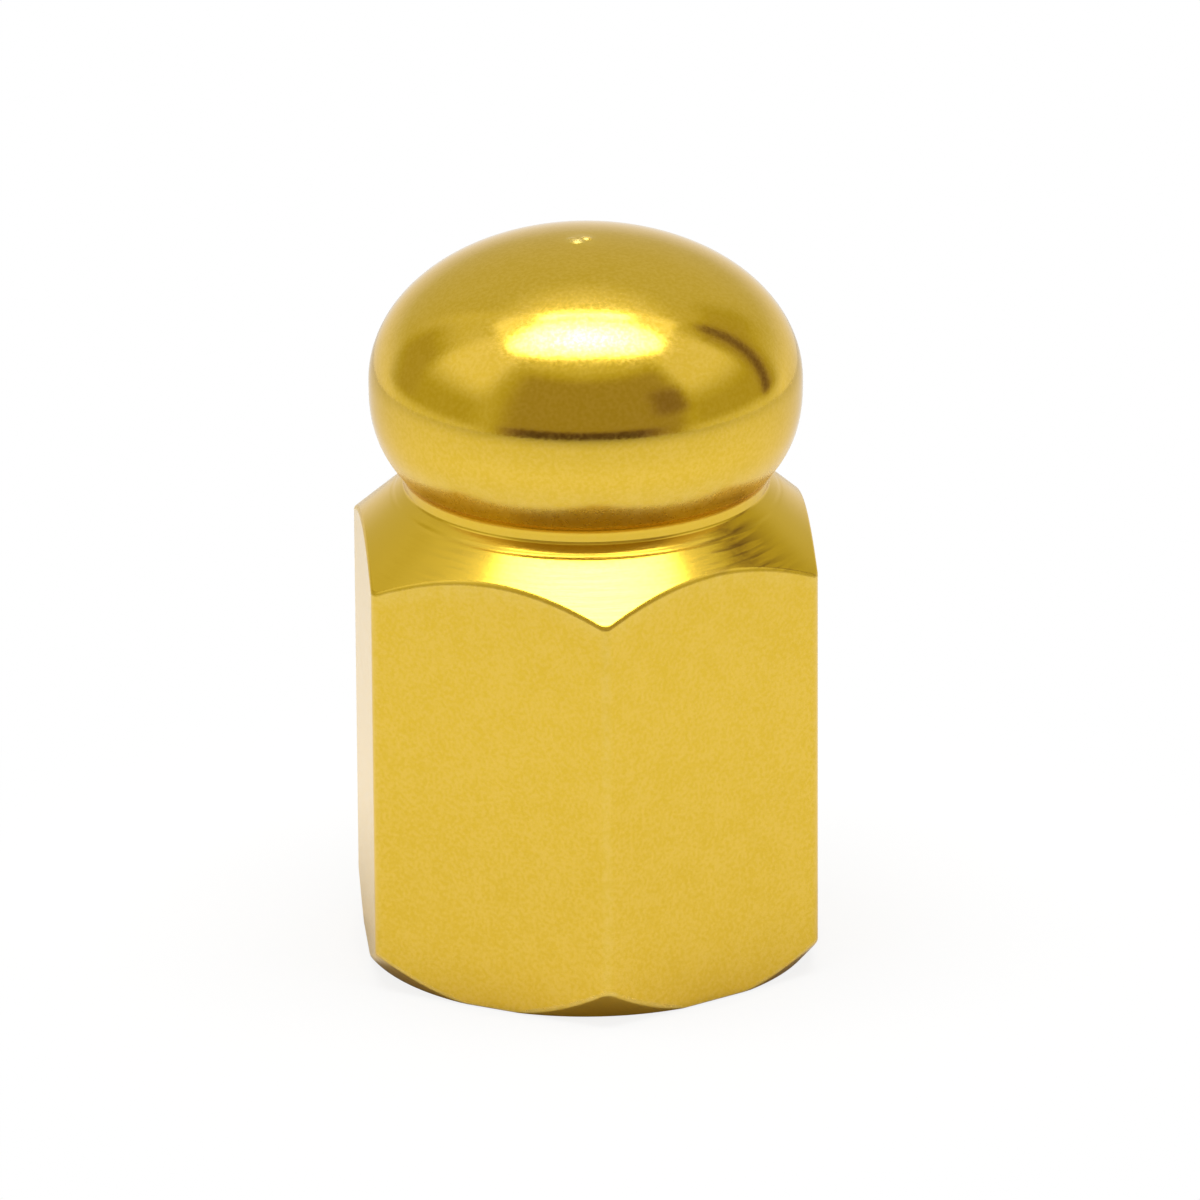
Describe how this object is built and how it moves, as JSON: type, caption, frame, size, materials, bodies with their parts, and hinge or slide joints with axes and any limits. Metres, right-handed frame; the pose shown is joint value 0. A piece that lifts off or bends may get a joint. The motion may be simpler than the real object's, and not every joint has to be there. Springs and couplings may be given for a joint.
{
  "type": "tyre valve cap",
  "caption": "Gold metal tyre valve cap: hexagon body with conical shoulder, narrow neck and domed head, over a blind threaded bore with a rubber sealing washer.",
  "frame": {"origin": "centre of the open end, on the face that the cap stands on", "axes": "+Z along the cap's axis from the open end to the domed head; a hexagon corner points to -Y and flats face +X and -X"},
  "size_m": [0.01, 0.0114, 0.0167],
  "materials": {
    "gold_anodised": "gold anodised, satin flats and brighter turned faces",
    "washer_rubber": "matt black rubber"
  },
  "bodies": {
    "root": {"cap_body": "gold_anodised", "sealing_washer": "washer_rubber"}
  },
  "joints": []
}
